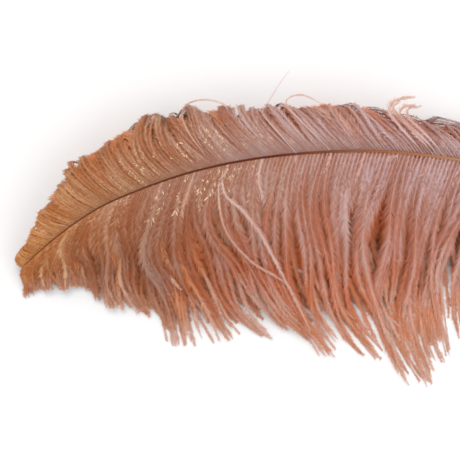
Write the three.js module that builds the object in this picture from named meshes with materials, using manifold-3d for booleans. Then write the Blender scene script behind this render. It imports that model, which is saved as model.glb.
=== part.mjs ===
// An ostrich plume lying on a level surface, front side up. One long shaft runs from the bare quill to a
// tip that nods over and curls under. Soft barbs grow along both of its sides, gathered into drooping
// locks: the lower vane slopes down and trails outwards, the upper vane rolls over its own edge and tucks
// back underneath. The whole feather grew as one piece, so it is one closed solid.
//
// Millimetres, +Z up. The origin is the flat under the quill on which the feather rests, and -X runs
// along the shaft towards the tip.
import * as THREE from "three";
import { mergeVertices } from "three/addons/utils/BufferGeometryUtils.js";
import Module from "manifold-3d";

// ---- Driving dimensions -------------------------------------------------------------------------

// The shaft's centreline, from the cut end of the quill to the curled tip.
const QUILL_RADIUS = 2.3;
const SHAFT_SIDES = 12;
const SHAFT_STEPS = 40;
const RIM = Math.cos(Math.PI / SHAFT_SIDES); // centre to the middle of a facet, over the radius
const REST_HEIGHT = QUILL_RADIUS * RIM;
const SHAFT_POINTS = [
  [24, -5.4, REST_HEIGHT],
  [8, -1.8, REST_HEIGHT],
  [-8, 1.8, REST_HEIGHT],
  [-24, 5.4, REST_HEIGHT],
  [-48, 10.7, 4],
  [-85, 18.1, 15],
  [-126, 24.8, 29],
  [-167, 28.8, 39],
  [-205, 28.7, 44.5],
  [-248, 24.6, 47],
  [-287, 16.4, 48],
  [-320, 5.1, 47.5],
  [-343, -5.2, 45],
  [-364.5, -19.3, 38.5],
  [-380.5, -31.8, 28.5],
  [-391.5, -41, 16.5],
  [-391, -41.4, 6.5],
  [-380, -34, 3.2],
];
// Distance from the quill's end, and the shaft's radius there.
const RADIUS_AT = [0, 1, 4, 34, 62, 150, 300, 430, 470];
const RADIUS = [0.7, 1.5, QUILL_RADIUS, QUILL_RADIUS, 1.9, 1.05, 0.7, 0.45, 0.35];

// The vane: where its first barbs grow, and how many locks they gather into on each side.
const VANE_START = 62;
const LOCKS_A_SIDE = 34;
const LOCK_SIDES = 4;
const LOCK_STEPS = 8;
const MARCH = 40; // short straight steps in which a lock's line is laid out
const LOCK_GAP = 0.7; // clear space between neighbouring locks where they leave the shaft
const SQUARED_BY = 0.3; // share of a lock over which it turns from lying along the shaft
// Share of the way along a lock, and half its thickness or the share of its full width there.
const THICKNESS_AT = [0, 0.3, 0.7, 1];
const HALF_THICKNESS = [0.45, 1.1, 1.0, 0.35];
const WIDTH_AT = [0, 0.35, 0.65, 0.88, 1];
const WIDTH_SHARE = [1, 0.94, 0.72, 0.42, 0.1];
const SETTLE = 9; // height over which a falling lock turns level as it meets the surface
const WELD = 1e-4; // corners of one solid that lie this close are the same corner
const FINEST = 0.01; // slivers thinner than this, left where locks cross, are smoothed away

// How the locks grow, by their share of the way from the vane's base to its tip. Lean is the angle away
// from the shaft, towards its tip, and lift the angle above the vane's own plane, both in degrees, at
// the lock's root, middle and end.
const SHARE = [0, 0.1, 0.24, 0.42, 0.58, 0.7, 0.8, 0.9, 1];
const LOWER_VANE = {
  side: -1,
  length: [45, 100, 154, 154, 142, 106, 64, 32, 20],
  lean: [
    [58, 66, 74, 70, 58, 48, 30, 22, 16],
    [82, 90, 96, 101, 103, 80, 45, 26, 22],
    [108, 118, 123, 128, 122, 96, 60, 34, 28],
  ],
  lift: [
    [8, 10, 10, 10, 10, 8, -4, -6, 0],
    [-18, -26, -32, -32, -32, -36, -40, -22, 0],
    [-8, -14, -16, -16, -18, -32, -40, -26, 0],
  ],
};
const UPPER_VANE = {
  side: 1,
  length: [42, 80, 112, 124, 124, 116, 84, 38, 20],
  lean: [
    [40, 38, 38, 46, 48, 58, 54, 53, 25],
    [60, 46, 40, 70, 100, 124, 46, 46, 25],
    [80, 60, 48, 100, 150, 150, 28, 40, 30],
  ],
  lift: [
    [10, 18, 24, 25, 24, 20, 14, 6, 0],
    [-60, -80, -90, -92, -90, -92, -95, -85, -30],
    [-150, -180, -190, -190, -185, -180, -175, -150, -60],
  ],
};
// How much one lock differs from the next: share of its length, and degrees at its middle and end.
const LENGTH_SPREAD = 0.13;
const LEAN_SPREAD = [0, 7, 14];
const LIFT_SPREAD = [0, 8, 14];
const UPPER_SEED = 100;

// ---- Helpers ------------------------------------------------------------------------------------

const wasm = await Module();
wasm.setup();

const smooth = (x) => THREE.MathUtils.smoothstep(x, 0, 1);

// The value at x of the straight-line graph through (xs, ys).
function graph(xs, ys, x) {
  let i = 1;
  while (i < xs.length - 1 && xs[i] < x) i++;
  const t = THREE.MathUtils.clamp((x - xs[i - 1]) / (xs[i] - xs[i - 1]), 0, 1);
  return THREE.MathUtils.lerp(ys[i - 1], ys[i], t);
}

// A smooth path through three values at 0, 0.5 and 1.
const through = ([a, b, c], u) =>
  u < 0.5 ? a + (b - a) * smooth(2 * u) : b + (c - b) * smooth(2 * u - 1);

// A fixed pseudo-random number from -0.5 to 0.5 for a lock and one of its traits.
function vary(lock, trait) {
  const x = Math.sin(lock * 12.9898 + trait * 78.233) * 43758.5453;
  return x - Math.floor(x) - 0.5;
}

// A closed solid round a line: section(u) gives its centre and its two half axes at u from 0 to 1.
function sweep(sides, steps, turn, section) {
  const skin = new THREE.CylinderGeometry(1, 1, 1, sides, steps, false, turn);
  const place = skin.attributes.position;
  const sections = Array.from({ length: steps + 1 }, (_, i) => section(i / steps));
  const point = new THREE.Vector3();
  for (let i = 0; i < place.count; i++) {
    const { centre, across, over } = sections[Math.round((place.getY(i) + 0.5) * steps)];
    point.copy(centre);
    point.addScaledVector(across, place.getX(i));
    point.addScaledVector(over, place.getZ(i));
    place.setXYZ(i, point.x, point.y, point.z);
  }
  skin.deleteAttribute("normal");
  skin.deleteAttribute("uv");
  const closed = mergeVertices(skin, WELD);
  return new wasm.Manifold(
    new wasm.Mesh({
      numProp: 3,
      vertProperties: closed.attributes.position.array,
      triVerts: new Uint32Array(closed.index.array),
    }),
  );
}

// ---- Shaft --------------------------------------------------------------------------------------

const shaftLine = new THREE.CatmullRomCurve3(SHAFT_POINTS.map((p) => new THREE.Vector3(...p)));
shaftLine.arcLengthDivisions = 2000;
const SHAFT_LENGTH = shaftLine.getLength();

// The shaft's own axes, carried along it without twist: along to the tip, out of the front, sideways.
const FRAME_STEPS = 470;
const fronts = [new THREE.Vector3(0, 0, 1)];
for (let i = 1; i <= FRAME_STEPS; i++) {
  const along = shaftLine.getTangentAt(i / FRAME_STEPS);
  const front = fronts[i - 1].clone();
  fronts.push(front.addScaledVector(along, -front.dot(along)).normalize());
}

function shaftAt(distance) {
  const u = THREE.MathUtils.clamp(distance / SHAFT_LENGTH, 0, 1);
  const centre = shaftLine.getPointAt(u);
  const along = shaftLine.getTangentAt(u);
  const front = fronts[Math.round(u * FRAME_STEPS)].clone();
  front.addScaledVector(along, -front.dot(along)).normalize();
  return { centre, along, front, sideways: new THREE.Vector3().crossVectors(front, along) };
}

// The quill's rounded end takes the first few sections, and the rest are spaced evenly.
const QUILL_END_SECTIONS = [0, 1, 4, 30];

function shaftSolid() {
  const last = QUILL_END_SECTIONS.length - 1;
  const start = QUILL_END_SECTIONS[last];
  const distanceAt = (i) =>
    i <= last
      ? QUILL_END_SECTIONS[i]
      : start + ((SHAFT_LENGTH - start) * (i - last)) / (SHAFT_STEPS - last);
  return sweep(SHAFT_SIDES, SHAFT_STEPS, Math.PI / SHAFT_SIDES, (u) => {
    const distance = distanceAt(Math.round(u * SHAFT_STEPS));
    const { centre, front, sideways } = shaftAt(distance);
    const radius = graph(RADIUS_AT, RADIUS, distance);
    return {
      centre,
      across: sideways.clone().multiplyScalar(-radius),
      over: front.clone().multiplyScalar(radius),
    };
  });
}

// ---- Locks --------------------------------------------------------------------------------------

// A lock's line: points and directions, marched out from the shaft, sinking no lower than the surface.
function lockLine(vane, index) {
  const share = (index + 0.5) / LOCKS_A_SIDE;
  const seed = vane.side > 0 ? index + UPPER_SEED : index;
  const { centre, along, front, sideways } = shaftAt(
    VANE_START + share * (SHAFT_LENGTH - VANE_START),
  );
  const outward = sideways.clone().multiplyScalar(-vane.side);
  const length = graph(SHARE, vane.length, share) * (1 + LENGTH_SPREAD * vary(seed, 0));
  const lean = vane.lean.map((row, k) => graph(SHARE, row, share) + LEAN_SPREAD[k] * vary(seed, 1));
  const lift = vane.lift.map((row, k) => graph(SHARE, row, share) + LIFT_SPREAD[k] * vary(seed, 2));
  const points = [centre.clone()];
  const directions = [];
  for (let i = 0; i < MARCH; i++) {
    const u = (i + 0.5) / MARCH;
    const a = THREE.MathUtils.degToRad(through(lean, u));
    const b = THREE.MathUtils.degToRad(through(lift, u));
    const way = new THREE.Vector3()
      .addScaledVector(along, Math.cos(b) * Math.cos(a))
      .addScaledVector(outward, Math.cos(b) * Math.sin(a))
      .addScaledVector(front, Math.sin(b));
    const here = points[i];
    const steepest = -(here.z - graph(THICKNESS_AT, HALF_THICKNESS, u)) / SETTLE;
    if (way.z < steepest) {
      const level = Math.sqrt(Math.max(1 - steepest * steepest, 0));
      const stretch = level / Math.max(Math.hypot(way.x, way.y), 1e-6);
      way.set(way.x * stretch, way.y * stretch, steepest);
    }
    directions.push(way);
    points.push(here.clone().addScaledVector(way, length / MARCH));
  }
  directions.push(directions[MARCH - 1]);
  return { points, directions, along };
}

function lockSolid(vane, index) {
  const pitch = (SHAFT_LENGTH - VANE_START) / LOCKS_A_SIDE;
  const { points, directions, along } = lockLine(vane, index);
  return sweep(LOCK_SIDES, LOCK_STEPS, 0, (u) => {
    const i = Math.round(u * MARCH);
    const way = directions[i];
    const squared = smooth(u / SQUARED_BY);
    const across = along.clone().addScaledVector(way, -squared * along.dot(way));
    const narrowing = THREE.MathUtils.lerp(1, across.length(), squared);
    const halfWidth = 0.5 * (pitch - LOCK_GAP) * narrowing * graph(WIDTH_AT, WIDTH_SHARE, u);
    across.normalize();
    const over = new THREE.Vector3().crossVectors(across, way).normalize();
    return {
      centre: points[i],
      across: across.multiplyScalar(halfWidth),
      over: over.multiplyScalar(graph(THICKNESS_AT, HALF_THICKNESS, u)),
    };
  });
}

// ---- Feather ------------------------------------------------------------------------------------

const solids = [shaftSolid()];
for (const vane of [LOWER_VANE, UPPER_VANE])
  for (let i = 0; i < LOCKS_A_SIDE; i++) solids.push(lockSolid(vane, i));
const whole = wasm.Manifold.union(solids)
  .trimByPlane([0, 0, 1], 0) // nothing sinks into the surface
  .simplify(FINEST);

const { vertProperties, triVerts } = whole.getMesh();
const geometry = new THREE.BufferGeometry();
geometry.setAttribute("position", new THREE.BufferAttribute(vertProperties, 3));
geometry.setIndex(new THREE.BufferAttribute(triVerts, 1));
geometry.computeVertexNormals();

const feather = new THREE.Mesh(
  geometry,
  new THREE.MeshStandardMaterial({ color: 0xc98a6c, roughness: 0.85, metalness: 0 }),
);
feather.name = "feather";

const plume = new THREE.Group();
plume.add(feather);
export default plume;
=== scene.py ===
# An ostrich plume dressed barb by barb. Each barb's line leaves the shaft, joins its neighbours in a
# drooping lock and ends on the surface the feather lies on. Barbules then line both sides of every barb.
import math

import bpy
import numpy as np
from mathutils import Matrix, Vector


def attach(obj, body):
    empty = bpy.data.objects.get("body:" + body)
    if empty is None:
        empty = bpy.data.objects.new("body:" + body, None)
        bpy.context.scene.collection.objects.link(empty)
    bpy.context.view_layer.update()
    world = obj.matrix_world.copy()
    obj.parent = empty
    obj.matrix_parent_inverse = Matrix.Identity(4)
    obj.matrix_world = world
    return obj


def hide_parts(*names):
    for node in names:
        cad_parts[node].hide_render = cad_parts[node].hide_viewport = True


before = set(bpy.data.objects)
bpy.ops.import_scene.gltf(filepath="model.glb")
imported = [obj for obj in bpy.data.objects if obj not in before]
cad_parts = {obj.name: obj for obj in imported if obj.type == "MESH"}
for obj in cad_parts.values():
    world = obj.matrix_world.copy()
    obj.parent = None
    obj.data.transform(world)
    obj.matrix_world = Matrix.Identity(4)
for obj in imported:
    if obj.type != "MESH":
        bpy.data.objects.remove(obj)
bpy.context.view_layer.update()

MM = 0.001

# ---- Camera ----------------------------------------------

CAMERA_PLACE = (-0.264, -0.018, 0.940)  # straight above the plume
CAMERA_SEES = 0.276  # width of the view at VIEW_DEPTH
VIEW_DEPTH = 0.900
SENSOR = 36.0


def make_camera():
    data = bpy.data.cameras.new("camera")
    data.sensor_width = SENSOR
    data.lens = SENSOR * VIEW_DEPTH / CAMERA_SEES
    data.clip_start = 0.01
    camera = bpy.data.objects.new("camera", data)
    camera.location = CAMERA_PLACE
    bpy.context.scene.collection.objects.link(camera)
    bpy.context.scene.camera = camera


# ---- Form of the plume, as in the solid it dresses -------

QUILL_RADIUS = 2.3 * MM
REST_HEIGHT = QUILL_RADIUS * math.cos(math.pi / 12)
SHAFT_POINTS = (
    (24, -5.4, REST_HEIGHT / MM),
    (8, -1.8, REST_HEIGHT / MM),
    (-8, 1.8, REST_HEIGHT / MM),
    (-24, 5.4, REST_HEIGHT / MM),
    (-48, 10.7, 4),
    (-85, 18.1, 15),
    (-126, 24.8, 29),
    (-167, 28.8, 39),
    (-205, 28.7, 44.5),
    (-248, 24.6, 47),
    (-287, 16.4, 48),
    (-320, 5.1, 47.5),
    (-343, -5.2, 45),
    (-364.5, -19.3, 38.5),
    (-380.5, -31.8, 28.5),
    (-391.5, -41, 16.5),
    (-391, -41.4, 6.5),
    (-380, -34, 3.2),
)
# Distance from the quill's end, and the shaft's radius there.
RADIUS_AT = np.array((0, 0.6, 1.6, 4, 34, 62, 150, 300, 430, 474)) * MM
RADIUS = np.array((1.25, 1.8, 2.15, 2.3, 2.3, 1.9, 1.05, 0.72, 0.45, 0.2)) * MM

# How barbs grow, by their share of the way from the vane's base to its tip. Lengths are in millimetres,
# and longer is the share by which barbs pass their lock. Lean is the angle away from the shaft, towards
# its tip, and lift the angle above the vane's own plane, both in degrees at the root, middle and end.
VANE_START = 62 * MM
LOCKS_A_SIDE = 34
SHARE = (0, 0.1, 0.24, 0.42, 0.58, 0.7, 0.8, 0.9, 1)
LOWER_VANE = dict(
    side=-1,
    seed=0,
    length=(45, 100, 154, 154, 142, 106, 64, 32, 20),
    longer=(0.02, 0.02, 0.02, 0.02, 0.03, 0.14, 0.18, 0.12, 0.06),
    lean=(
        (58, 66, 74, 70, 58, 48, 30, 22, 16),
        (82, 90, 96, 101, 103, 80, 45, 26, 22),
        (108, 118, 123, 128, 122, 96, 60, 34, 28),
    ),
    lift=(
        (8, 10, 10, 10, 10, 8, -4, -6, 0),
        (-18, -26, -32, -32, -32, -36, -40, -22, 0),
        (-8, -14, -16, -16, -18, -32, -40, -26, 0),
    ),
)
UPPER_VANE = dict(
    side=1,
    seed=100,
    length=(42, 80, 112, 124, 124, 116, 84, 38, 20),
    longer=(0.02, 0.02, 0.02, 0.02, 0.02, 0.07, 0.09, 0.08, 0.06),
    lean=(
        (40, 38, 38, 46, 48, 58, 54, 53, 25),
        (60, 46, 40, 70, 100, 124, 46, 46, 25),
        (80, 60, 48, 100, 150, 150, 28, 40, 30),
    ),
    lift=(
        (10, 18, 24, 25, 24, 20, 14, 6, 0),
        (-60, -80, -90, -92, -90, -92, -95, -85, -30),
        (-150, -180, -190, -190, -185, -180, -175, -150, -60),
    ),
)
# How much one lock differs from the next: share of its length, and degrees at its root, middle and end.
LENGTH_SPREAD = 0.13
LEAN_SPREAD = (0, 7, 14)
LIFT_SPREAD = (0, 8, 14)
TRESS = 3.5  # locks that sweep the same way
TRESS_SPREAD = (0, 7, 13)
TRESS_LENGTH = 0.14
TRESS_SEED = 60  # keeps the tresses from varying as the locks do
LAYERS_APART = 500  # keeps the locks of a shifted layer from repeating the front one's
SETTLE = 9 * MM  # height over which a falling barb turns level as it meets the surface
CLEARANCE = 0.8 * MM  # a barb's line stays this far above the surface
SQUARED_BY = 0.3  # share of a barb over which it turns from lying along the shaft
# Where a barb's root sits on the shaft, in shaft radii: outwards, and above or under its middle.
ROOT_OUT = 0.75
ROOT_OVER = 0.45
ROOT_UNDER = -0.4

# ---- How the barbs fill a vane ---------------------------

SEED = 4
BARB_STEPS = 40  # along a barb's line
CROWDING_STEPS = 500  # along the vane, over which the barbs are counted out
LEAN_NOISE = 1.5  # degrees by which single barbs differ
LIFT_NOISE = 0.7
STRAY = 0.05  # share of the barbs that stand out of their lock
STRAY_SWING = 3.0  # how many times more those differ
STRAY_FREEDOM = 0.7  # and how much less they keep to their lock
FRAY_ALONG = ((0.5, 0.62, 0.75), (1.25, 1.0, 0.45))  # barbs end less evenly towards the base
WISP_FRAY = 0.4  # how much shorter a wisp's middle line is, in shares of the fray
WAVES_A_BARB = 1.25
WISP_PHASE = 0.25  # turns by which the waves of wisps differ, and radians by which those of barbs do
BARB_PHASE = 0.3
FULL_SIZE = 150  # millimetres of a barb that sways and strays in full
# Where along a barb these set in, and over what share of it.
CLINGING = (0.1, 0.55)
GATHERING = (0.5, 0.5)
SWAYING = (0.0, 0.4)
SPLAYING = (0.55, 0.45)

# What the layers of barbs share unless they say otherwise.
#   reach, crowding: the shares of the vane where the layer starts and ends, and how thickly barbs grow
#   wisp, cling, relief: barbs in a wisp, how closely they keep together, degrees between wisps
#   drop, shift, full: degrees under the front layer, locks along the shaft, share of the front's length
#   gather, spread: how barbs draw into locks, and how much one lock differs from the next
#   fray, ragged: how unevenly barbs end, and how unevenly their barbules wear
#   wave, splay, curl: how a barb sways, how its end strays, and degrees by which its curl may differ
#   pitch, length, width, angle, ruffle, bare: the barbules, and how bare of them a barb's root is
#   pieces, dye: meshes that the layer is made as, and its colours, partly painted light
COMMON = dict(
    reach=(0.0, 1.0),
    crowding=((0, 0.5, 0.65, 0.8, 1), (0.8, 1.0, 1.5, 2.0, 1.8)),
    wisp=2,
    drop=0.0,
    shift=0.0,
    full=1.0,
    fray=0.16,
    cling=0.4,
    gather=0.3,
    relief=1.4,
    wave=2.8 * MM,
    splay=2.6 * MM,
    curl=0.0,
    ragged=0.8,
    pitch=1.0 * MM,
    length=8.0 * MM,
    width=0.55 * MM,
    angle=24.0,
    ruffle=0.24,
    bare=0.15,
    pieces=1,
    dye="bloom",
    spread=1.0,
)
# Short downy barbs where the vane begins.
DOWN = dict(
    COMMON, barbs=16, reach=(-0.05, 0.05), crowding=((0, 1), (0.7, 1.4)), wisp=1, full=0.5, fray=0.3,
    cling=0.0, gather=0.0, wave=5.0 * MM, splay=6.0 * MM, pitch=0.8 * MM, length=5.0 * MM, angle=45.0,
    ruffle=0.5, bare=0.0, dye="veil", spread=2.0,
)
LAYERS = (
    dict(COMMON, name="lower_front", vane=LOWER_VANE, barbs=220, cling=0.7, gather=0.45),
    dict(
        COMMON, name="lower_middle", vane=LOWER_VANE, barbs=200, drop=2.0, shift=0.3, full=0.9,
        fray=0.18, gather=0.4, wave=3.4 * MM, dye="blush", spread=0.9,
    ),
    dict(
        COMMON, name="lower_under", vane=LOWER_VANE, barbs=190, drop=4.5, shift=0.6, full=0.86,
        cling=0.1, gather=0.0, relief=1.0, wave=1.0 * MM, splay=2.0 * MM, ragged=0.3, pitch=1.4 * MM,
        length=9.0 * MM, width=0.9 * MM, angle=28.0, dye="depth", spread=0.15,
    ),
    dict(
        COMMON, name="lower_veil", vane=LOWER_VANE, barbs=20, crowding=((0, 1), (1, 1)), drop=-1.5,
        shift=0.15, full=0.92, fray=0.3, cling=0.0, gather=0.0, wave=3.5 * MM, length=7.0 * MM,
        dye="veil", spread=1.4,
    ),
    dict(
        COMMON, name="upper_front", vane=UPPER_VANE, barbs=250,
        crowding=((0, 0.3, 0.55, 1), (0.7, 0.9, 1.4, 1.5)), wisp=3, fray=0.13, cling=0.55, gather=0.25,
        relief=1.8, wave=2.6 * MM, splay=2.0 * MM, curl=22.0, pitch=1.1 * MM, length=4.6 * MM,
        angle=24.0, ruffle=0.28, bare=0.3, pieces=2, dye="crest", spread=1.4,
    ),
    dict(
        COMMON, name="upper_under", vane=UPPER_VANE, barbs=150, crowding=((0, 1), (1, 1)), wisp=3,
        drop=4.0, shift=0.5, full=0.94, fray=0.08, cling=0.2, gather=0.1, relief=1.8, wave=2.0 * MM,
        splay=1.0 * MM, curl=12.0, ragged=0.3, pitch=1.4 * MM, length=6.5 * MM, width=0.9 * MM,
        angle=28.0, ruffle=0.3, dye="blush", spread=0.5,
    ),
    dict(DOWN, name="lower_down", vane=LOWER_VANE, drop=-3.0),
    dict(DOWN, name="upper_down", vane=UPPER_VANE, drop=-35.0),
)
# Single barbs that stray from the vane: how full their barbules are at the root and at the end, and points
# of their lines in millimetres. They lie on the other barbs where those stand higher than the points.
LOOSE_BARBS = (
    (
        (1.0, 0.9),
        ((-267.6, 21.3, 47), (-268.7, 11.6, 50), (-266.4, 2.2, 49), (-258, -4.9, 45), (-247.2, -18, 38))
        + ((-238.6, -33.1, 30), (-230.5, -48.5, 22), (-222.2, -64.1, 14), (-214.4, -80, 6)),
    ),
    (
        (0.5, 0.6),
        ((-267.6, 21.3, 47), (-270.5, 8.7, 49), (-270, -6.1, 44), (-265.2, -21, 36), (-250.6, -37.4, 28))
        + ((-230.3, -50.4, 20), (-220.8, -64.2, 13)),
    ),
    (
        (0.1, 0.1),
        ((-224.7, 27.8, 47), (-234.5, 38.2, 53), (-241.5, 46.3, 54), (-245.1, 51.6, 55))
        + ((-241.1, 58, 56.5), (-233.4, 70.1, 59), (-229, 75.6, 60)),
    ),
    (
        (0.1, 0.3),
        ((-204.5, 29.6, 47), (-222.6, 46.9, 54), (-231, 57, 53), (-228.5, 60.7, 51))
        + ((-220.7, 62.1, 49), (-209.3, 57, 48)),
    ),
    (
        (0.1, 0.3),
        ((-272.9, 20.1, 47), (-287.6, 38.1, 54.5), (-292.4, 50, 53), (-290.1, 56.1, 51))
        + ((-281.8, 59.1, 50), (-272.9, 58.6, 49), (-262.8, 54.5, 49)),
    ),
    (
        (0.1, 0.9),
        ((-136.9, 26.2, 32), (-155.3, 42.9, 44), (-165, 51, 48), (-167, 55.5, 48), (-163, 58.5, 47)),
    ),
    (
        (0.1, 0.9),
        ((-146, 26.7, 34), (-162, 43, 46), (-169, 52, 48), (-168, 57.5, 48), (-161, 60.5, 46))
        + ((-154, 61.5, 44),),
    ),
    (
        (0.1, 0.9),
        ((-140, 26.5, 33), (-157, 43, 45), (-163, 51, 48), (-161, 55, 48), (-154, 56.5, 46)),
    ),
    (
        (0.1, 0.8),
        ((-133, 25.8, 31), (-150, 42, 43), (-158, 50, 46), (-158, 54, 46), (-150, 56, 44)),
    ),
)
LOOSE_LOOK = dict(COMMON, length=6.0 * MM, angle=22.0, ragged=0.3, bare=0.6, dye="veil")
LOOSE_SHARE = 0.5  # share of the vane whose barbs give them their thickness and barbules
LOOSE_STEM = 1.5  # how much thicker they are than the vane's own barbs
LOOSE_GAP = 1.2 * MM  # how far above the barbs they cross
LOOSE_REACH = 3.0 * MM  # how near a barb's line passes to be crossed
LOOSE_ROOT = 6  # steps at their root that stay down among the others
LOOSE_EVENING = 4  # rounds in which their heights are evened out
LOOSE_SEED = 5


def smooth(x):
    x = np.clip(x, 0, 1)
    return x * x * (3 - 2 * x)


def set_in(u, start, over):
    return smooth((u - start) / over)


def unit(v):
    return v / np.maximum(np.linalg.norm(v, axis=-1, keepdims=True), 1e-12)


def dots(a, b):
    return (a * b).sum(-1, keepdims=True)


class Line:
    """A smooth line through points in millimetres, with its own axes: along it and out of its front."""

    SAMPLES = 110  # between neighbouring points

    def __init__(self, points):
        p = np.array(points) * MM
        p = np.vstack((2 * p[0] - p[1], p, 2 * p[-1] - p[-2]))
        t = np.linspace(0, 1, self.SAMPLES, endpoint=False)[:, None]
        line = []
        for a, b, c, d in zip(p, p[1:], p[2:], p[3:]):
            ab, bc, cd = (np.sqrt(np.linalg.norm(y - x)) for x, y in ((a, b), (b, c), (c, d)))
            leave = bc * ((b - a) / ab - (c - a) / (ab + bc) + (c - b) / bc)
            arrive = bc * ((c - b) / bc - (d - b) / (bc + cd) + (d - c) / cd)
            cube = 2 * b - 2 * c + leave + arrive
            square = 3 * c - 3 * b - 2 * leave - arrive
            line.append(b + leave * t + square * t**2 + cube * t**3)
        self.line = np.vstack((*line, p[-2:-1]))
        steps = np.linalg.norm(np.diff(self.line, axis=0), axis=1)
        self.distance = np.concatenate(((0,), np.cumsum(steps)))
        self.length = self.distance[-1]
        self.along = unit(np.gradient(self.line, axis=0))
        front = np.array((0.0, 0.0, 1.0))
        self.front = np.empty_like(self.line)
        for i, way in enumerate(self.along):
            front = unit(front - front @ way * way)
            self.front[i] = front

    def at(self, distance):
        place, along, front = (
            np.stack([np.interp(distance, self.distance, a[:, k]) for k in range(3)], -1)
            for a in (self.line, self.along, self.front)
        )
        along = unit(along)
        front = unit(front - dots(front, along) * along)
        return place, along, front


SHAFT = Line(SHAFT_POINTS)


def distance_at(share):
    """How far from the quill's end a share of the vane lies."""
    return VANE_START + share * (SHAFT.length - VANE_START)


def vary(lock, trait):
    """A number from -0.5 to 0.5 that one trait of one lock always has."""
    x = np.sin(lock * 12.9898 + trait * 78.233) * 43758.5453
    return x - np.floor(x) - 0.5


def drift(place, seed, trait):
    """The trait of the lock at a place, passing smoothly into the next lock's."""
    lock = np.floor(place - 0.5)
    blend = smooth(place - 0.5 - lock)
    return vary(lock + seed, trait) * (1 - blend) + vary(lock + 1 + seed, trait) * blend


def through(values, u):
    """A smooth path through three values at 0, 0.5 and 1."""
    a, b, c = values
    return np.where(u < 0.5, a + (b - a) * smooth(2 * u), b + (c - b) * smooth(2 * u - 1))


def march(layer, share, longer=0.0, leaning=0.0, lifting=0.0, curling=0.0, crossing=0.0):
    """Lines of barbs that leave the shaft at shares of the vane, and the fronts of their flat sides."""
    vane = layer["vane"]
    centre, along, front = SHAFT.at(distance_at(share))
    outward = np.cross(front, along) * -vane["side"]
    radius = np.interp(distance_at(share), RADIUS_AT, RADIUS)[:, None]
    place = share * LOCKS_A_SIDE + layer["shift"]
    seed = vane["seed"] + LAYERS_APART * layer["shift"]
    traits = [layer["spread"] * drift(place, seed, k) for k in range(3)]
    length = np.interp(share, SHARE, vane["length"]) * MM * layer["full"]
    reaching = TRESS_LENGTH * drift(place / TRESS, vane["seed"] + TRESS_SEED, 0)
    length = length * (1 + LENGTH_SPREAD * traits[0] + reaching + longer)
    sweep = layer["spread"] * drift(place / TRESS, vane["seed"] + TRESS_SEED, 1)
    lean = [
        np.interp(share, SHARE, row) + spread * traits[1] + wider * sweep + leaning
        for row, spread, wider in zip(vane["lean"], LEAN_SPREAD, TRESS_SPREAD)
    ]
    lift = [
        np.interp(share, SHARE, row) + spread * traits[2] + lifting - layer["drop"]
        for row, spread in zip(vane["lift"], LIFT_SPREAD)
    ]
    lift[2] = lift[2] + curling
    lean[2] = lean[2] + crossing
    raised = ROOT_OVER if layer["drop"] <= 0 else ROOT_UNDER
    points = [centre + radius * (ROOT_OUT * outward + raised * front)]
    flats = []
    for i in range(BARB_STEPS):
        u = (i + 0.5) / BARB_STEPS
        a = np.radians(through(lean, u))[:, None]
        b = np.radians(through(lift, u))[:, None]
        way = np.cos(b) * (np.cos(a) * along + np.sin(a) * outward) + np.sin(b) * front
        steepest = -(points[-1][:, 2] - CLEARANCE) / SETTLE
        level = np.sqrt(np.clip(1 - steepest**2, 0, 1))
        stretch = level / np.maximum(np.hypot(way[:, 0], way[:, 1]), 1e-6)
        settled = np.column_stack((way[:, :2] * stretch[:, None], steepest))
        way = np.where((way[:, 2] < steepest)[:, None], settled, way)
        across = along - smooth(u / SQUARED_BY) * dots(along, way) * way
        flats.append(unit(np.cross(across, way)) * -vane["side"])
        points.append(points[-1] + way * (length / BARB_STEPS)[:, None])
    flats.append(flats[-1])
    return np.stack(points, 1), np.stack(flats, 1)


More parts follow.
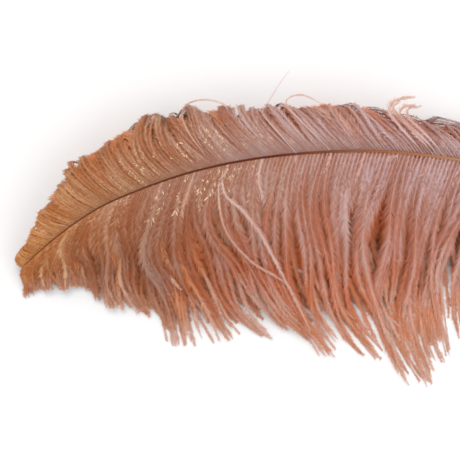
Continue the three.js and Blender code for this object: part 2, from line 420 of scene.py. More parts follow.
def grow_barbs(layer, rng):
    """Every barb of one layer: lines, fronts of their flat sides and shares of the vane."""
    vane = layer["vane"]
    finely = np.linspace(0, 1, CROWDING_STEPS)
    filled = np.cumsum(np.interp(finely, *layer["crowding"]))
    n = layer["barbs"]
    first, last = layer["reach"]
    share = first + (last - first) * np.interp((np.arange(n) + 0.5) / n, filled / filled[-1], finely)
    lock = np.floor(share * LOCKS_A_SIDE + layer["shift"])
    lock_share = np.clip((lock + 0.5 - layer["shift"]) / LOCKS_A_SIDE, 0, 1)
    wisp = np.arange(n) // layer["wisp"]
    wisp_share = (np.bincount(wisp, share) / np.bincount(wisp))[wisp]

    stray = rng.random(n) < STRAY
    wild = np.where(stray, STRAY_SWING, 1.0)
    fray = layer["fray"] * np.interp(share, *FRAY_ALONG)
    longer = np.interp(share, SHARE, vane["longer"]) - np.abs(rng.normal(0, 1, n)) * fray
    leaning = rng.normal(0, LEAN_NOISE, n) * wild
    lifting = rng.normal(0, LIFT_NOISE, n) * wild
    relief = layer["relief"] * 2 * vary(wisp, 9 + layer["drop"])
    curling, crossing = layer["curl"] * rng.normal(0, 1, (2, n))
    points, flats = march(layer, share, longer, leaning, lifting + relief, curling, crossing)
    wisps, _ = march(layer, wisp_share, -WISP_FRAY * layer["fray"], lifting=relief)
    locks, lock_flats = march(layer, lock_share)

    u = np.linspace(0, 1, BARB_STEPS + 1)[None, :, None]
    free = (1 - STRAY_FREEDOM * stray)[:, None, None]
    cling = layer["cling"] * free * set_in(u, *CLINGING)
    gather = layer["gather"] * free * set_in(u, *GATHERING)
    points = points + (wisps - points) * cling
    points = points + (locks - points) * gather
    flats = unit(flats + (lock_flats - flats) * gather)
    side = unit(np.cross(flats, unit(np.gradient(points, axis=1))))
    phase = 2 * np.pi * (vary(lock, 3) + WISP_PHASE * vary(wisp, 5)) + rng.normal(0, BARB_PHASE, n)
    u = u[..., 0]
    size = layer["wave"] * (1 + vary(lock, 4)) * np.interp(share, SHARE, vane["length"]) / FULL_SIZE
    sway = np.sin(2 * np.pi * WAVES_A_BARB * u + phase[:, None]) - np.sin(phase)[:, None]
    points = points + side * (size[:, None] * sway * set_in(u, *SWAYING))[..., None]
    astray = layer["splay"] * rng.normal(0, 1, n) * np.interp(share, SHARE, vane["length"]) / FULL_SIZE
    points = points + side * (astray[:, None] * set_in(u, *SPLAYING) ** 1.5)[..., None]
    points[..., 2] = np.maximum(points[..., 2], CLEARANCE)
    return points, flats, share


# ---- Node tools ------------------------------------------


class Tree:
    """A node tree under construction. add() places a node and links or sets what it is given."""

    def __init__(self, name, kind):
        self.tree = bpy.data.node_groups.new(name, kind)
        self.start = self.tree.nodes.new("NodeGroupInput")
        self.end = self.tree.nodes.new("NodeGroupOutput")

    def input(self, name, kind, value=None):
        socket = self.tree.interface.new_socket(name=name, in_out="INPUT", socket_type=kind)
        if value is not None:
            socket.default_value = value
        return self.start.outputs[name]

    def output(self, name, kind, source):
        self.tree.interface.new_socket(name=name, in_out="OUTPUT", socket_type=kind)
        self.tree.links.new(source, self.end.inputs[name])

    def add(self, kind, settings=None, **inputs):
        return place_node(self.tree, kind, settings, inputs)

    def math(self, operation, *values):
        return operate(self.tree, "ShaderNodeMath", operation, values)

    def vector(self, operation, *values):
        return operate(self.tree, "ShaderNodeVectorMath", operation, values)


def connect(tree, socket, value):
    if isinstance(value, bpy.types.NodeSocket):
        tree.links.new(value, socket)
    else:
        socket.default_value = value


def place_node(tree, kind, settings, inputs):
    node = tree.nodes.new(kind)
    for key, value in (settings or {}).items():
        setattr(node, key, value)
    live = {s.name.replace(" ", "_"): s for s in reversed(node.inputs) if s.enabled}
    for key, value in inputs.items():
        connect(tree, live[key], value)
    return node


def operate(tree, kind, operation, values):
    node = tree.nodes.new(kind)
    node.operation = operation
    for socket, value in zip(node.inputs, values):
        connect(tree, socket, value)
    scalar = kind == "ShaderNodeMath" or operation in ("DOT_PRODUCT", "LENGTH")
    return node.outputs["Value" if scalar else "Vector"]


def run_nodes(source, tree, values):
    """Runs a tree on an object with its named inputs set, and gives back the finished mesh."""
    modifier = source.modifiers.new("build", "NODES")
    modifier.node_group = tree
    for item in tree.interface.items_tree:
        if item.in_out == "INPUT" and item.name in values:
            modifier[item.identifier] = values[item.name]
    graph = bpy.context.evaluated_depsgraph_get()
    mesh = bpy.data.meshes.new_from_object(source.evaluated_get(graph), depsgraph=graph)
    source.modifiers.remove(modifier)
    bpy.data.objects.remove(source)
    return mesh


# ---- Barbules along barbs --------------------------------

BARB_RADIUS = 0.22 * MM
ROD_STEPS = 22
TUFT = 4  # barbules in the tuft that the tree repeats
BLADE_HALF = 0.2  # half a barbule's width at its root, in widths of the tuft
BLADE_STEP = 0.15  # how far its roots step along its length, to follow the slanting barb
TIP_SHORTER = 0.22  # how unevenly its barbules end, in lengths
TIP_AHEAD = (0.45, 0.3)  # how far a barbule's tip leads its root, and by how much that differs
BARBULE_GROWN = (0.55, 1.2)  # shortest and longest tuft, as shares of the layer's barbules
LOWEST = 0.15 * MM  # nothing of a barb or barbule comes nearer to the surface
# In the map, in half widths of a strand: the barb's own rod, and a barbule's length and root.
ROD_IN_MAP = 0.07
BARBULE_IN_MAP = 0.75
BARBULE_ROOT_IN_MAP = 0.15
STEP_IN_MAP = 0.006  # share of a barb from one tuft's place to the next


def barbule_blade():
    """A tuft of barbules side by side, of unit length along Y and unit width along X."""
    places, faces = [], []
    for k in range(TUFT):
        place = (k + 0.5) / TUFT - 0.5
        near, far = BLADE_STEP * place, 1 - TIP_SHORTER * abs(vary(k, 1))
        tip = place + TIP_AHEAD[0] + TIP_AHEAD[1] * vary(k, 2)
        faces.append((3 * k, 3 * k + 1, 3 * k + 2))
        places += (place - BLADE_HALF, near, 0), (place + BLADE_HALF, near, 0), (tip, far, 0)
    mesh = bpy.data.meshes.new("barbule")
    mesh.from_pydata(places, (), faces)
    for name, k in (("step", 0), ("reach", 1)):
        mark = mesh.attributes.new(name, "FLOAT", "POINT")
        mark.data.foreach_set("value", [place[k] for place in places])
    blade = bpy.data.objects.new("barbule", mesh)
    bpy.context.scene.collection.objects.link(blade)
    return blade


def barbule_tree():
    t = Tree("Barbules along barbs", "GeometryNodeTree")
    lines = t.input("Geometry", "NodeSocketGeometry")
    blade = t.input("Barbule", "NodeSocketObject")
    pitch = t.input("Barbule Pitch", "NodeSocketFloat", 1.1 * MM)
    length = t.input("Barbule Length", "NodeSocketFloat", 5 * MM)
    width = t.input("Barbule Width", "NodeSocketFloat", 0.5 * MM)
    angle = t.input("Barbule Angle", "NodeSocketFloat", math.radians(32))
    scatter = t.input("Angle Scatter", "NodeSocketFloat", math.radians(6))
    droop = t.input("Barbule Droop", "NodeSocketFloat", 0.03)
    ruffle = t.input("Ruffle", "NodeSocketFloat", 0.16)
    louver = t.input("Louver", "NodeSocketFloat", 0.25)
    barb_radius = t.input("Barb Radius", "NodeSocketFloat", BARB_RADIUS)
    strand = t.input("Strand Width in Map", "NodeSocketFloat", 0.001)
    seed = t.input("Seed", "NodeSocketInt", 7)
    finish = t.input("Material", "NodeSocketMaterial")

    def named(name, kind="FLOAT"):
        return t.add("GeometryNodeInputNamedAttribute", {"data_type": kind}, Name=name).outputs[0]

    def random(low, high, offset):
        number = t.math("ADD", seed, offset)
        node = t.add("FunctionNodeRandomValue", {"data_type": "FLOAT"}, Min=low, Max=high, Seed=number)
        return node.outputs[1]

    curves = t.add("GeometryNodeMeshToCurve", None, Mesh=lines).outputs[0]
    factor = t.add("GeometryNodeSplineParameter").outputs["Factor"]

    # The barb itself, a fine three-sided rod that thins to its tip.
    thin = t.math("MULTIPLY", barb_radius, named("stem"))
    rods = t.add("GeometryNodeResampleCurve", {"mode": "COUNT"}, Curve=curves, Count=ROD_STEPS).outputs[0]
    rods = store(t, rods, "along", factor)
    ring = t.add("GeometryNodeCurvePrimitiveCircle", None, Resolution=3, Radius=1.0).outputs[0]
    corner = t.add("GeometryNodeInputIndex").outputs[0]
    around = t.math("MULTIPLY_ADD", corner, ROD_IN_MAP, -ROD_IN_MAP)
    ring = store(t, ring, "sideways", around)
    rods = t.add(
        "GeometryNodeCurveToMesh", None, Curve=rods, Profile_Curve=ring, Scale=thin, Fill_Caps=True
    ).outputs[0]

    # Barbules spring from both sides of it at an even pitch.
    beads = t.add("GeometryNodeResampleCurve", {"mode": "LENGTH"}, Curve=curves, Length=pitch).outputs[0]
    beads = store(t, beads, "along", factor)
    tangent = t.add("GeometryNodeInputTangent").outputs[0]
    flat = t.vector("NORMALIZE", named("flat", "FLOAT_VECTOR"))
    beyond = t.vector("NORMALIZE", t.vector("CROSS_PRODUCT", flat, tangent))
    one = t.add("GeometryNodeObjectInfo", None, Object=blade, As_Instance=True).outputs["Geometry"]
    rows = []
    for k, side in enumerate((-1.0, 1.0)):
        swing = t.math("ADD", angle, t.math("MULTIPLY", scatter, random(-1.0, 1.0, 10 * k + 1)))
        swing = t.math("MULTIPLY", swing, named("open"))
        ahead = t.vector("MULTIPLY", tangent, spread_vector(t, t.math("COSINE", swing)))
        out = t.math("MULTIPLY", t.math("SINE", swing), side)
        out = t.vector("MULTIPLY", beyond, spread_vector(t, out))
        sag = t.math("MULTIPLY", droop, -1.0)
        rise = t.math("MULTIPLY_ADD", ruffle, random(-1.0, 1.0, 10 * k + 2), sag)
        rise = t.vector("MULTIPLY", flat, spread_vector(t, rise))
        way = t.vector("ADD", t.vector("ADD", ahead, out), rise)
        leaf = t.vector("MULTIPLY", tangent, spread_vector(t, t.math("MULTIPLY", louver, -1.0)))
        turn = t.add(
            "FunctionNodeAxesToRotation",
            {"primary_axis": "Y", "secondary_axis": "Z"},
            Primary_Axis=way,
            Secondary_Axis=t.vector("ADD", flat, leaf),
        ).outputs[0]
        grown = t.math("MULTIPLY", length, named("spread"))
        grown = t.math("MULTIPLY", grown, random(*BARBULE_GROWN, 10 * k + 3))
        broad = t.math("MULTIPLY", width, side * -1.0)
        size = t.add("ShaderNodeCombineXYZ", None, X=broad, Y=grown, Z=grown).outputs[0]
        row = t.add(
            "GeometryNodeInstanceOnPoints", None, Points=beads, Instance=one, Rotation=turn, Scale=size
        ).outputs[0]
        rows.append(store(t, row, "side", side, "INSTANCE"))
    both = t.tree.nodes.new("GeometryNodeJoinGeometry")
    for row in rows:
        t.tree.links.new(row, both.inputs[0])
    blades = t.add("GeometryNodeRealizeInstances", None, Geometry=both.outputs[0]).outputs[0]
    outwards = t.math("MULTIPLY_ADD", named("reach"), BARBULE_IN_MAP, BARBULE_ROOT_IN_MAP)
    sideways = t.math("MULTIPLY", named("side"), outwards)
    blades = store(t, blades, "sideways", sideways)
    steps = t.math("MULTIPLY_ADD", named("step"), STEP_IN_MAP, named("along"))
    blades = store(t, blades, "along", steps)

    # The map runs along the shaft in one direction and along each barb in the other.
    whole = t.tree.nodes.new("GeometryNodeJoinGeometry")
    for part in (rods, blades):
        t.tree.links.new(part, whole.inputs[0])
    across = t.math("MULTIPLY_ADD", named("sideways"), t.math("MULTIPLY", strand, 0.5), named("column"))
    place = t.add("ShaderNodeCombineXYZ", None, X=across, Y=named("along")).outputs[0]
    dressed = store(t, whole.outputs[0], "OFBake", place, "CORNER", "FLOAT2")
    marks = ("stem", "flat", "open", "spread", "side", "step", "reach", "sideways", "along", "column")
    for name in marks:
        dressed = t.add("GeometryNodeRemoveAttribute", None, Geometry=dressed, Name=name).outputs[0]
    dressed = t.add("GeometryNodeRealizeInstances", None, Geometry=dressed).outputs[0]
    dressed = t.add("GeometryNodeSetMaterial", None, Geometry=dressed, Material=finish).outputs[0]
    t.output("Geometry", "NodeSocketGeometry", dressed)
    return t.tree


def store(t, geometry, name, value, domain="POINT", kind="FLOAT"):
    settings = {"data_type": kind, "domain": domain}
    node = t.add("GeometryNodeStoreNamedAttribute", settings, Geometry=geometry, Name=name, Value=value)
    return node.outputs[0]


def spread_vector(t, value):
    return t.add("ShaderNodeCombineXYZ", None, X=value, Y=value, Z=value).outputs[0]


def lines_object(name, points, **marks):
    """An object of open lines. Each mark is an attribute with a value for every point of every line."""
    lines, steps = points.shape[:2]
    mesh = bpy.data.meshes.new(name)
    first = np.arange(lines * steps).reshape(lines, steps)
    edges = np.stack((first[:, :-1], first[:, 1:]), -1).reshape(-1, 2)
    mesh.vertices.add(lines * steps)
    mesh.vertices.foreach_set("co", points.ravel())
    mesh.edges.add(len(edges))
    mesh.edges.foreach_set("vertices", edges.ravel())
    for key, value in marks.items():
        vector = value.ndim == 3
        mark = mesh.attributes.new(key, "FLOAT_VECTOR" if vector else "FLOAT", "POINT")
        mark.data.foreach_set("vector" if vector else "value", value.astype(np.float32).ravel())
    obj = bpy.data.objects.new(name, mesh)
    bpy.context.scene.collection.objects.link(obj)
    return obj


def rest_on_surface(mesh):
    places = np.empty(len(mesh.vertices) * 3, np.float32)
    mesh.vertices.foreach_get("co", places)
    places[2::3] = np.maximum(places[2::3], LOWEST)
    mesh.vertices.foreach_set("co", places)
    mesh.update()


def add_piece(name, mesh):
    mesh.name = name
    piece = bpy.data.objects.new(name, mesh)
    bpy.context.scene.collection.objects.link(piece)
    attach(piece, "root")
    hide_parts("feather")


# ---- Materials -------------------------------------------

PLUME_TIP = -0.4  # X from which the colours below are placed, just past the curled tip
PLUME_SPAN = 0.4  # and how far they run along X, to the quill
STEM_REACH = 0.1  # share of a strand's half width in the map that is the barb's own stem
ROWS_APART = 37.0  # sets the barbules on one side of a barb apart from those on the other
# Noise over the dyed barbs: how often it repeats across barbs and along one, and how strongly it tells.
RUN_SCALE = (0.35, 5.0)
PATCH_SCALE = (0.09, 2.2)
OWN, GROUP, RUN, PATCH = 0.5, 0.3, 1.3, 2.0
STEM_PALER = 0.5
RIDGE_SHAPE = 0.6
# From where to where along a barb its tip's colours come in, and its end's, and how much.
TO_TIP = (0.1, 0.65, 1.0)
TO_END = (0.65, 1.0, 0.85)
PALE_END = (0.70, 0.44, 0.34)
DEEP_END = (0.56, 0.23, 0.12)
# Colour of the painted glints, highlights painted on a few barbules near the shaft.
GOLD = (0.88, 0.64, 0.38)
GLINTS_A_BARB = 110.0
GLINT_SHARE = 0.16  # of the barbules where the glints are thickest
GLINT_BARBS = 0.12  # only barbs whose own number is above this have any
GLINT_REACH = 0.2  # share of a barb, from the shaft
GLINT_SPOT = (0.45, 0.17)  # middle of a glint on its barbule, and how far it runs to both sides
GLINT_PLACE = ((0.0, 0.0), (0.14, 0.0), (0.2, 1.0), (0.33, 1.0), (0.45, 0.0))  # along the plume
STREAKS = (40.0, 1500.0, 1500.0)  # how often the shaft's streaks repeat in a metre, along it and round it
STREAK_COLOUR = (0.62, 0.42, 0.28, 1)
STREAK_DEPTH = 0.5
HORN = (
    (0.0, 0.22, 0.07, 0.02), (0.14, 0.15, 0.04, 0.010), (0.26, 0.12, 0.026, 0.005),
    (0.41, 0.11, 0.022, 0.004), (0.495, 0.22, 0.075, 0.025), (0.58, 0.36, 0.13, 0.055),
    (0.69, 0.44, 0.23, 0.13), (1.0, 0.70, 0.54, 0.39),
)
# The dyes, with painted light in them. A stop is a place between the plume's tip and its quill, then red,
# green and blue. A barb is pale on its ridge and falls to deep at its edges, and both colours change from
# its root to its own tip. The pale ridge is partly a painted highlight, and the deep, saturated orange
# edges are partly painted shade between barbs. The darker orange towards the plume's tip is partly painted
# warm light and shade, and towards the tip the crest is painted paler than the bloom, as light falls on
# the upper vane.
SILK = dict(wisp=2.0, ridge=1.1, fall=1.45, threads=130.0, speckle=1.9)
DYES_AND_PAINTED_LIGHT = {
    "bloom": dict(
        SILK,
        pale_root=(
            (0.0, 0.80, 0.37, 0.12), (0.12, 0.56, 0.29, 0.15), (0.24, 0.42, 0.22, 0.15),
            (0.385, 0.51, 0.31, 0.25), (0.565, 0.58, 0.39, 0.38), (1.0, 0.60, 0.41, 0.41),
        ),
        pale_tip=(
            (0.0, 0.66, 0.30, 0.10), (0.12, 0.48, 0.26, 0.17), (0.22, 0.43, 0.23, 0.17),
            (0.385, 0.54, 0.31, 0.25), (0.565, 0.66, 0.39, 0.31), (1.0, 0.66, 0.39, 0.32),
        ),
        deep_root=(
            (0.0, 0.46, 0.13, 0.02), (0.12, 0.36, 0.10, 0.022), (0.24, 0.31, 0.09, 0.03),
            (0.385, 0.38, 0.13, 0.065), (0.565, 0.42, 0.17, 0.12), (1.0, 0.44, 0.18, 0.13),
        ),
        deep_tip=(
            (0.0, 0.50, 0.14, 0.025), (0.12, 0.36, 0.10, 0.028), (0.22, 0.35, 0.095, 0.03),
            (0.385, 0.55, 0.12, 0.035), (0.565, 0.62, 0.16, 0.055), (1.0, 0.58, 0.17, 0.08),
        ),
    ),
    "crest": dict(
        SILK,
        pale_root=(
            (0.0, 0.78, 0.37, 0.12), (0.13, 0.58, 0.31, 0.16), (0.23, 0.55, 0.31, 0.19),
            (0.37, 0.58, 0.40, 0.37), (0.55, 0.59, 0.41, 0.40),
        ),
        pale_tip=(
            (0.0, 0.66, 0.30, 0.09), (0.13, 0.54, 0.28, 0.13), (0.23, 0.52, 0.28, 0.17),
            (0.37, 0.55, 0.37, 0.34), (0.55, 0.56, 0.38, 0.365),
        ),
        deep_root=(
            (0.0, 0.46, 0.14, 0.02), (0.13, 0.38, 0.12, 0.03), (0.23, 0.36, 0.11, 0.035),
            (0.37, 0.40, 0.17, 0.11), (0.55, 0.43, 0.19, 0.145),
        ),
        deep_tip=(
            (0.0, 0.48, 0.14, 0.02), (0.13, 0.36, 0.105, 0.022), (0.23, 0.35, 0.10, 0.03),
            (0.37, 0.38, 0.13, 0.07), (0.55, 0.42, 0.15, 0.10),
        ),
    ),
    "veil": dict(
        wisp=1.0, ridge=1.15, fall=0.9, threads=110.0, speckle=1.8,
        pale_root=(
            (0.0, 0.64, 0.33, 0.13), (0.28, 0.60, 0.40, 0.30), (0.4, 0.70, 0.50, 0.47),
            (1.0, 0.66, 0.46, 0.44),
        ),
        pale_tip=(
            (0.0, 0.66, 0.35, 0.14), (0.28, 0.62, 0.40, 0.30), (0.4, 0.72, 0.50, 0.45),
            (1.0, 0.66, 0.44, 0.39),
        ),
        deep_root=(
            (0.0, 0.56, 0.21, 0.06), (0.28, 0.48, 0.20, 0.10), (0.4, 0.52, 0.25, 0.19),
            (1.0, 0.50, 0.24, 0.19),
        ),
        deep_tip=(
            (0.0, 0.58, 0.22, 0.07), (0.28, 0.50, 0.20, 0.10), (0.4, 0.56, 0.27, 0.20),
            (1.0, 0.54, 0.23, 0.16),
        ),
    ),
    "blush": dict(
        wisp=3.0, ridge=0.8, fall=1.0, threads=100.0, speckle=2.2,
        pale_root=(
            (0.0, 0.60, 0.28, 0.10), (0.3, 0.52, 0.27, 0.16), (0.5, 0.56, 0.34, 0.29),
            (1.0, 0.58, 0.37, 0.34),
        ),
        pale_tip=(
            (0.0, 0.62, 0.29, 0.11), (0.3, 0.60, 0.30, 0.18), (0.6, 0.72, 0.35, 0.23),
            (1.0, 0.66, 0.38, 0.30),
        ),
        deep_root=(
            (0.0, 0.58, 0.19, 0.05), (0.45, 0.50, 0.17, 0.09), (1.0, 0.52, 0.20, 0.13),
        ),
        deep_tip=(
            (0.0, 0.60, 0.18, 0.05), (0.5, 0.68, 0.18, 0.055), (0.7, 0.66, 0.20, 0.08),
            (1.0, 0.54, 0.22, 0.14),
        ),
    ),
    # The under layer's dye: brightened, saturated orange that partly paints the glow of light shining
    # through and bouncing between barbs in the shaded hollows.
    "depth": dict(
        wisp=3.0, ridge=0.35, fall=0.45, threads=80.0, speckle=1.8,
        pale_root=(
            (0.0, 0.60, 0.27, 0.10), (0.5, 0.58, 0.30, 0.20), (1.0, 0.60, 0.33, 0.28),
        ),
        pale_tip=(
            (0.0, 0.64, 0.27, 0.11), (0.5, 0.78, 0.30, 0.14), (0.7, 0.74, 0.31, 0.17),
            (1.0, 0.60, 0.34, 0.28),
        ),
        deep_root=(
            (0.0, 0.60, 0.18, 0.05), (0.5, 0.64, 0.15, 0.05), (0.7, 0.62, 0.17, 0.08),
            (1.0, 0.52, 0.22, 0.15),
        ),
        deep_tip=(
            (0.0, 0.62, 0.16, 0.04), (0.5, 0.84, 0.19, 0.045), (0.7, 0.78, 0.20, 0.06),
            (1.0, 0.52, 0.21, 0.14),
        ),
    ),
}


def new_material(name):
    material = bpy.data.materials.new(name)
    material.use_nodes = True
    tree = material.node_tree
    tree.nodes.clear()
    shader = tree.nodes.new("ShaderNodeBsdfPrincipled")
    output = tree.nodes.new("ShaderNodeOutputMaterial")
    tree.links.new(shader.outputs[0], output.inputs["Surface"])
    return material, tree, shader


def ramp(tree, factor, stops):
    node = tree.nodes.new("ShaderNodeValToRGB")
    elements = node.color_ramp.elements
    while len(elements) < len(stops):
        elements.new(1.0)
    for element, (place, *colour) in zip(elements, stops):
        element.position = place
        element.color = (*colour, 1)
    connect(tree, node.inputs[0], factor)
    return node.outputs["Color"]


def mix(tree, factor, a, b, blend="MIX"):
    node = tree.nodes.new("ShaderNodeMix")
    node.data_type = "RGBA"
    node.blend_type = blend
    connect(tree, node.inputs["Factor"], factor)
    colours = [s for s in node.inputs if s.type == "RGBA"]
    connect(tree, colours[0], a)
    connect(tree, colours[1], b)
    return next(s for s in node.outputs if s.type == "RGBA")


def place_group():
    """How far along the plume a point lies, from 0 at the curled tip to 1 at the quill."""
    t = Tree("Place along the plume", "ShaderNodeTree")
    tip = t.input("Tip", "NodeSocketFloat", PLUME_TIP)
    span = t.input("Span", "NodeSocketFloat", PLUME_SPAN)
    spot = t.add("ShaderNodeTexCoord").outputs["Object"]
    x = t.add("ShaderNodeSeparateXYZ", None, Vector=spot).outputs["X"]
    t.output("Place", "NodeSocketFloat", t.math("DIVIDE", t.math("SUBTRACT", x, tip), span))
    return t.tree


def dye_and_painted_light_group():
    """Barbs that lie side by side in the map OFBake, whose second direction runs along them: their dye
    with painted highlights, painted shade and painted glints.
    """
    t = Tree("Dyed barbs", "ShaderNodeTree")
    place = t.input("Place", "NodeSocketFloat", 0.5)
    strands = t.input("Barbs in Map", "NodeSocketFloat", 100.0)
    wisp = t.input("Barbs in Wisp", "NodeSocketFloat", 2.0)
    ridge = t.input("Ridge", "NodeSocketFloat", 1.0)
    fall = t.input("Fall", "NodeSocketFloat", 1.0)
    threads = t.input("Threads", "NodeSocketFloat", 100.0)
    speckle = t.input("Speckle", "NodeSocketFloat", 2.0)
    pale_root, pale_tip, deep_root, deep_tip = (
        t.input(name, "NodeSocketColor") for name in ("Pale Root", "Pale Tip", "Deep Root", "Deep Tip")
    )
    end_pale = t.input("Pale End", "NodeSocketColor", (*PALE_END, 1))
    end_deep = t.input("Deep End", "NodeSocketColor", (*DEEP_END, 1))
    gold = t.input("Gold", "NodeSocketColor", (*GOLD, 1))

    def noise(kind, across, along):
        at = t.add("ShaderNodeCombineXYZ", None, X=across, Y=along).outputs[0]
        white = kind == "ShaderNodeTexWhiteNoise"
        node = t.add(kind, {"noise_dimensions": "2D"}, Vector=at, **({} if white else {"Scale": 1.0}))
        return t.math("SUBTRACT", node.outputs["Value" if white else 0], 0.5)

    def rise(value, low, high, top):
        node = t.add("ShaderNodeMapRange", None, Value=value, From_Min=low, From_Max=high, To_Max=top)
        return node.outputs[0]

    uv = t.add("ShaderNodeUVMap", {"uv_map": "OFBake"}).outputs[0]
    split = t.add("ShaderNodeSeparateXYZ", None, Vector=uv).outputs
    strand, along = t.math("MULTIPLY", split["X"], strands), split["Y"]
    number = t.math("FLOOR", strand)
    off_centre = t.math("SUBTRACT", t.math("FRACT", strand), 0.5)
    reach = t.math("MULTIPLY", t.math("ABSOLUTE", off_centre), 2.0)
    row = t.math("MULTIPLY_ADD", t.math("SIGN", off_centre), ROWS_APART, number)

    # Pale along the barb's own ridge, deeper towards the barbules' ends: partly the barbs' own colour,
    # partly a painted highlight along the ridge and painted shade towards the edges.
    own = noise("ShaderNodeTexWhiteNoise", number, 3.0)
    group = noise("ShaderNodeTexWhiteNoise", t.math("FLOOR", t.math("DIVIDE", strand, wisp)), 7.0)
    run, patch = (
        noise("ShaderNodeTexNoise", t.math("MULTIPLY", strand, across), t.math("MULTIPLY", along, down))
        for across, down in (RUN_SCALE, PATCH_SCALE)
    )
    thread = noise("ShaderNodeTexNoise", row, t.math("MULTIPLY", along, threads))
    pale = t.math("SUBTRACT", ridge, t.math("MULTIPLY", t.math("POWER", reach, RIDGE_SHAPE), fall))
    pale = t.math("MULTIPLY_ADD", t.math("LESS_THAN", reach, STEM_REACH), STEM_PALER, pale)
    for part, strength in ((own, OWN), (group, GROUP), (run, RUN), (patch, PATCH), (thread, speckle)):
        pale = t.math("MULTIPLY_ADD", part, strength, pale)
    pale = t.add("ShaderNodeClamp", None, Value=pale).outputs[0]

    to_tip, to_end = rise(along, *TO_TIP), rise(along, *TO_END)
    pale_dye_and_highlight = mix(t.tree, to_end, mix(t.tree, to_tip, pale_root, pale_tip), end_pale)
    deep_dye_and_shade = mix(t.tree, to_end, mix(t.tree, to_tip, deep_root, deep_tip), end_deep)

    # Painted glints: a few barbules near the shaft are painted pale gold as highlights.
    tuft = t.math("FLOOR", t.math("MULTIPLY", along, GLINTS_A_BARB))
    lucky = noise("ShaderNodeTexWhiteNoise", row, tuft)
    painted_glints = ramp(t.tree, place, [(stop, level, level, level) for stop, level in GLINT_PLACE])
    for test in (
        t.math("GREATER_THAN", lucky, 0.5 - GLINT_SHARE),
        t.math("LESS_THAN", along, GLINT_REACH),
        t.math("GREATER_THAN", own, GLINT_BARBS),
        t.math("COMPARE", reach, *GLINT_SPOT),
    ):
        painted_glints = t.math("MULTIPLY", painted_glints, test)
    dyed = mix(t.tree, pale, deep_dye_and_shade, pale_dye_and_highlight)
    t.output("Colour", "NodeSocketColor", mix(t.tree, painted_glints, dyed, gold))
    return t.tree


PLACE_ALONG_PLUME = place_group()
BARBS_DYED_AND_PAINTED_LIT = dye_and_painted_light_group()


def use_group(tree, group, **inputs):
    return place_node(tree, "ShaderNodeGroup", {"node_tree": group}, inputs).outputs[0]


def barb_material(name, strands, dye):
    """Barbs in their dye with painted highlights and shade. The strands are the barbs that the piece's map
    holds side by side.
    """
    material, tree, shader = new_material(name)
    place = use_group(tree, PLACE_ALONG_PLUME)
    dyed = use_group(
        tree,
        BARBS_DYED_AND_PAINTED_LIT,
        Place=place,
        Barbs_in_Map=strands,
        Barbs_in_Wisp=dye["wisp"],
        Ridge=dye["ridge"],
        Fall=dye["fall"],
        Threads=dye["threads"],
        Speckle=dye["speckle"],
        Pale_Root=ramp(tree, place, dye["pale_root"]),
        Pale_Tip=ramp(tree, place, dye["pale_tip"]),
        Deep_Root=ramp(tree, place, dye["deep_root"]),
        Deep_Tip=ramp(tree, place, dye["deep_tip"]),
    )
    tree.links.new(dyed, shader.inputs["Base Color"])
    shader.inputs["Roughness"].default_value = 0.5
    shader.inputs["Specular IOR Level"].default_value = 0.3
    shader.inputs["Sheen Weight"].default_value = 0.05
    shader.inputs["Sheen Roughness"].default_value = 0.4
    shader.inputs["Sheen Tint"].default_value = (1.0, 0.85, 0.85, 1)
    return material


def shaft_material():
    material, tree, shader = new_material("shaft horn")
    spot = place_node(tree, "ShaderNodeTexCoord", None, {}).outputs["Object"]
    horn = ramp(tree, use_group(tree, PLACE_ALONG_PLUME), HORN)
    stretched = operate(tree, "ShaderNodeVectorMath", "MULTIPLY", (spot, STREAKS))
    grain = place_node(tree, "ShaderNodeTexNoise", None, {"Vector": stretched, "Scale": 1.0}).outputs[0]
    depth = operate(tree, "ShaderNodeMath", "MULTIPLY", (grain, STREAK_DEPTH))
    streaked = mix(tree, depth, horn, STREAK_COLOUR, "MULTIPLY")
    tree.links.new(streaked, shader.inputs["Base Color"])
    shader.inputs["Roughness"].default_value = 0.5
    shader.inputs["Specular IOR Level"].default_value = 0.08
    return material


# ---- Pieces ----------------------------------------------

SHAFT_STEP = 2 * MM
SHAFT_SIDES = 16
QUILL_END = np.array((0, 0.25, 0.6, 1.2, 2.2, 4)) * MM  # rings that round off the quill's end
WEARING = (0.35, 0.4)  # where along a barb its barbules begin to wear, and over what share of it
BARE_UNTIL = 0.3  # share of a barb, from its root, that may be bare
LOOSE_FULL = 0.7  # share of a stray barb over which its barbules fill out
RAGGED_KNOTS = 24  # places along a barb between which its barbules grow or wear evenly


def barb_marks(share, steps, bare, ragged, rng):
    """Attributes along the barbs of a piece: thickness, fullness, opening and place in the map."""
    n = len(share)
    knots = np.linspace(0, 1, RAGGED_KNOTS)
    gaps = rng.random((n, RAGGED_KNOTS)) * ragged * set_in(knots, *WEARING)
    whole = 1 - np.stack([np.interp(np.linspace(0, 1, steps), knots, row) for row in gaps])
    u = np.linspace(0, 1, steps)[None, :].repeat(n, 0)
    size = np.interp(share, (0, 0.08, 0.3, 0.7, 0.85, 1), (0.8, 0.9, 1.0, 0.9, 0.7, 0.5))[:, None]
    thick = np.interp(share, (0, 0.3, 0.7, 0.85, 1), (1.1, 1.0, 0.9, 0.7, 0.6))[:, None]
    full = np.interp(u, (0, 0.02, 0.1, 0.3, 0.7, 0.9, 1), (0.3, 0.5, 0.85, 1.0, 0.9, 0.6, 0.25))
    return dict(
        stem=np.interp(u, (0, 0.5, 1), (1, 0.6, 0.2)) * thick,
        spread=full * whole * size * (1 - bare * (1 - smooth(u / BARE_UNTIL))),
        open=np.interp(u, (0, 0.2, 0.5, 0.8, 1), (1.3, 1.15, 1.0, 1.1, 1.5)),
        column=np.repeat((np.arange(n) + 0.5)[:, None] / n, steps, 1),
    )


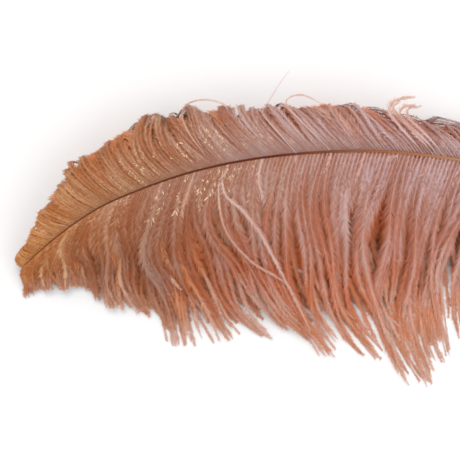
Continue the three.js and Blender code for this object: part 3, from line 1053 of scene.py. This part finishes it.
def dress(name, points, flats, marks, look, seed, nodes, blade):
    """Grows barbules along the lines of a piece's barbs and adds the piece."""
    count = len(points)
    source = lines_object(name, points, flat=flats, **marks)
    values = {
        "Barbule": blade,
        "Barbule Pitch": look["pitch"],
        "Barbule Length": look["length"],
        "Barbule Width": look["width"],
        "Barbule Angle": math.radians(look["angle"]),
        "Ruffle": look["ruffle"],
        "Strand Width in Map": 1.0 / count,
        "Seed": seed,
        "Material": barb_material(name.replace("_", " ") + " dye", count, DYES_AND_PAINTED_LIGHT[look["dye"]]),
    }
    mesh = run_nodes(source, nodes, values)
    mesh.materials.pop(index=0)  # the blade's own, which is empty
    rest_on_surface(mesh)
    add_piece(name, mesh)


def make_layer(layer, nodes, blade, rng):
    points, flats, share = grow_barbs(layer, rng)
    for k, run in enumerate(np.array_split(np.arange(len(points)), layer["pieces"])):
        marks = barb_marks(share[run], points.shape[1], layer["bare"], layer["ragged"], rng)
        name = f"{layer['name']}_barbs_{k + 1}"
        seed = 11 * (k + 1) + layer["vane"]["seed"]
        dress(name, points[run], flats[run], marks, layer, seed, nodes, blade)
    return points


def make_loose_barbs(under, nodes, blade, rng):
    """The stray barbs, laid over the points of the barbs that they cross."""
    u = np.linspace(0, 1, BARB_STEPS + 1)
    rows, flats, fullness = [], [], []
    for (root, end), places in LOOSE_BARBS:
        line = Line(places)
        points = line.at(u * line.length)[0]
        for point in points[LOOSE_ROOT:]:
            near = np.hypot(*(under[:, :2] - point[:2]).T) < LOOSE_REACH
            if near.any():
                point[2] = max(point[2], under[near, 2].max() + LOOSE_GAP)
        for _ in range(LOOSE_EVENING):
            points[1:-1, 2] = (points[:-2, 2] + points[1:-1, 2] + points[2:, 2]) / 3
        rows.append(points)
        along = unit(np.gradient(points, axis=0))
        up = np.array((0.0, 0.0, 1.0))
        flats.append(unit(up - dots(along, up) * along))
        fullness.append(root + (end - root) * smooth(u / LOOSE_FULL))
    share = np.full(len(rows), LOOSE_SHARE)
    marks = barb_marks(share, BARB_STEPS + 1, LOOSE_LOOK["bare"], LOOSE_LOOK["ragged"], rng)
    marks["stem"] = LOOSE_STEM * marks["stem"]
    marks["spread"] = marks["spread"] * np.stack(fullness)
    dress("loose_barbs", np.stack(rows), np.stack(flats), marks, LOOSE_LOOK, LOOSE_SEED, nodes, blade)


def shaft_tree():
    t = Tree("Shaft along its line", "GeometryNodeTree")
    lines = t.input("Geometry", "NodeSocketGeometry")
    sides = t.input("Sides", "NodeSocketInt", SHAFT_SIDES)
    finish = t.input("Material", "NodeSocketMaterial")
    curves = t.add("GeometryNodeMeshToCurve", None, Mesh=lines).outputs[0]
    radius = t.add("GeometryNodeInputNamedAttribute", {"data_type": "FLOAT"}, Name="thickness").outputs[0]
    ring = t.add("GeometryNodeCurvePrimitiveCircle", None, Resolution=sides, Radius=1.0).outputs[0]
    rod = t.add(
        "GeometryNodeCurveToMesh", None, Curve=curves, Profile_Curve=ring, Scale=radius, Fill_Caps=True
    ).outputs[0]
    rod = t.add("GeometryNodeRemoveAttribute", None, Geometry=rod, Name="thickness").outputs[0]
    rod = t.add("GeometryNodeRealizeInstances", None, Geometry=rod).outputs[0]
    rod = t.add("GeometryNodeSetMaterial", None, Geometry=rod, Material=finish).outputs[0]
    t.output("Geometry", "NodeSocketGeometry", rod)
    return t.tree


def make_shaft():
    rings = np.arange(QUILL_END[-1] + SHAFT_STEP, SHAFT.length, SHAFT_STEP)
    distance = np.concatenate((QUILL_END, rings, (SHAFT.length,)))
    points, _, _ = SHAFT.at(distance)
    thickness = np.interp(distance, RADIUS_AT, RADIUS)
    source = lines_object("shaft_line", points[None], thickness=thickness[None])
    mesh = run_nodes(source, shaft_tree(), {"Sides": SHAFT_SIDES, "Material": shaft_material()})
    mesh.polygons.foreach_set("use_smooth", [True] * len(mesh.polygons))
    add_piece("shaft", mesh)


# ---- Studio ----------------------------------------------

HALF_FLOOR = 3.0
AIM = (-0.22, -0.02, 0.0)  # what the lamps point at
LAMPS = (
    dict(name="key", place=(-0.5, 0.5, 1.15), size=0.6, watts=7.5),
    dict(name="fill", place=(0.5, -0.5, 1.1), size=1.0, watts=4.0),
)
ROOM_LIGHT = 0.76


def make_floor():
    mesh = bpy.data.meshes.new("floor")
    corners = ((-1, -1), (1, -1), (1, 1), (-1, 1))
    mesh.from_pydata([(x * HALF_FLOOR, y * HALF_FLOOR, 0) for x, y in corners], (), [(0, 1, 2, 3)])
    material, _, shader = new_material("floor")
    shader.inputs["Base Color"].default_value = (0.86, 0.86, 0.86, 1)
    shader.inputs["Roughness"].default_value = 0.8
    mesh.materials.append(material)
    floor = bpy.data.objects.new("floor", mesh)
    bpy.context.scene.collection.objects.link(floor)


def make_lamp(name, place, size, watts):
    data = bpy.data.lights.new(name, "AREA")
    data.size = size
    data.energy = watts
    light = bpy.data.objects.new(name, data)
    light.location = place
    light.rotation_euler = (Vector(AIM) - Vector(place)).to_track_quat("-Z", "Y").to_euler()
    bpy.context.scene.collection.objects.link(light)


def make_studio():
    make_floor()
    for lamp in LAMPS:
        make_lamp(**lamp)
    world = bpy.data.worlds.new("studio")
    world.use_nodes = True
    sky = world.node_tree.nodes["Background"]
    sky.inputs["Color"].default_value = (1, 1, 1, 1)
    sky.inputs["Strength"].default_value = ROOM_LIGHT
    bpy.context.scene.world = world
    bpy.context.scene.view_settings.view_transform = "Standard"


# ---- Build -----------------------------------------------

make_camera()
make_shaft()
rng = np.random.default_rng(SEED)
nodes = barbule_tree()
blade = barbule_blade()
barbs = [make_layer(layer, nodes, blade, rng) for layer in LAYERS]
make_loose_barbs(np.vstack([points.reshape(-1, 3) for points in barbs]), nodes, blade, rng)
bpy.data.objects.remove(blade)
make_studio()
